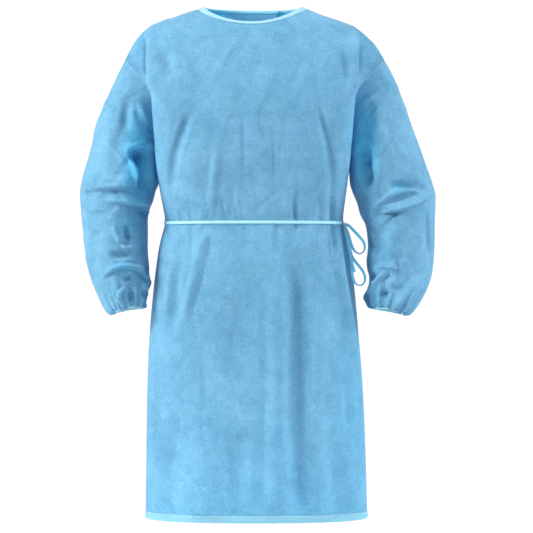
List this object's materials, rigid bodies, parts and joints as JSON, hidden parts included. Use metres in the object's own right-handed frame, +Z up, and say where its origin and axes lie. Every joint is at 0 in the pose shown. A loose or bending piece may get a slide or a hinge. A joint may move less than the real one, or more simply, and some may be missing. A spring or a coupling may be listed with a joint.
{
  "type": "isolation gown",
  "caption": "Long-sleeved light blue nonwoven isolation gown in worn form, with a bound round neck, gathered elastic cuffs, an overlapping back and a narrow waist tie in a bow.",
  "frame": {"origin": "in the middle of the neck opening, level with the two neck points, where the wearer's neck and shoulders hold the gown", "axes": "+Z up, the gown's front faces -Y, and the picture's right, which is the wearer's left, is +X"},
  "size_m": [0.796, 0.2937, 1.1438],
  "materials": {
    "gown_cloth": "matt spunbond nonwoven, faintly mottled",
    "binding_tape": "matt pale blue nonwoven tape"
  },
  "bodies": {
    "root": {"front_panel": "gown_cloth", "back_panel_left": "gown_cloth", "back_panel_right": "gown_cloth", "sleeve_left": "gown_cloth", "sleeve_right": "gown_cloth", "cuff_left": "binding_tape", "cuff_right": "binding_tape", "neck_binding": "binding_tape", "hem_front": "binding_tape", "hem_back_left": "binding_tape", "hem_back_right": "binding_tape", "waist_belt": "binding_tape", "belt_knot": "binding_tape", "tie_loop_upper": "binding_tape", "tie_loop_lower": "binding_tape", "tie_end": "binding_tape"}
  },
  "joints": []
}
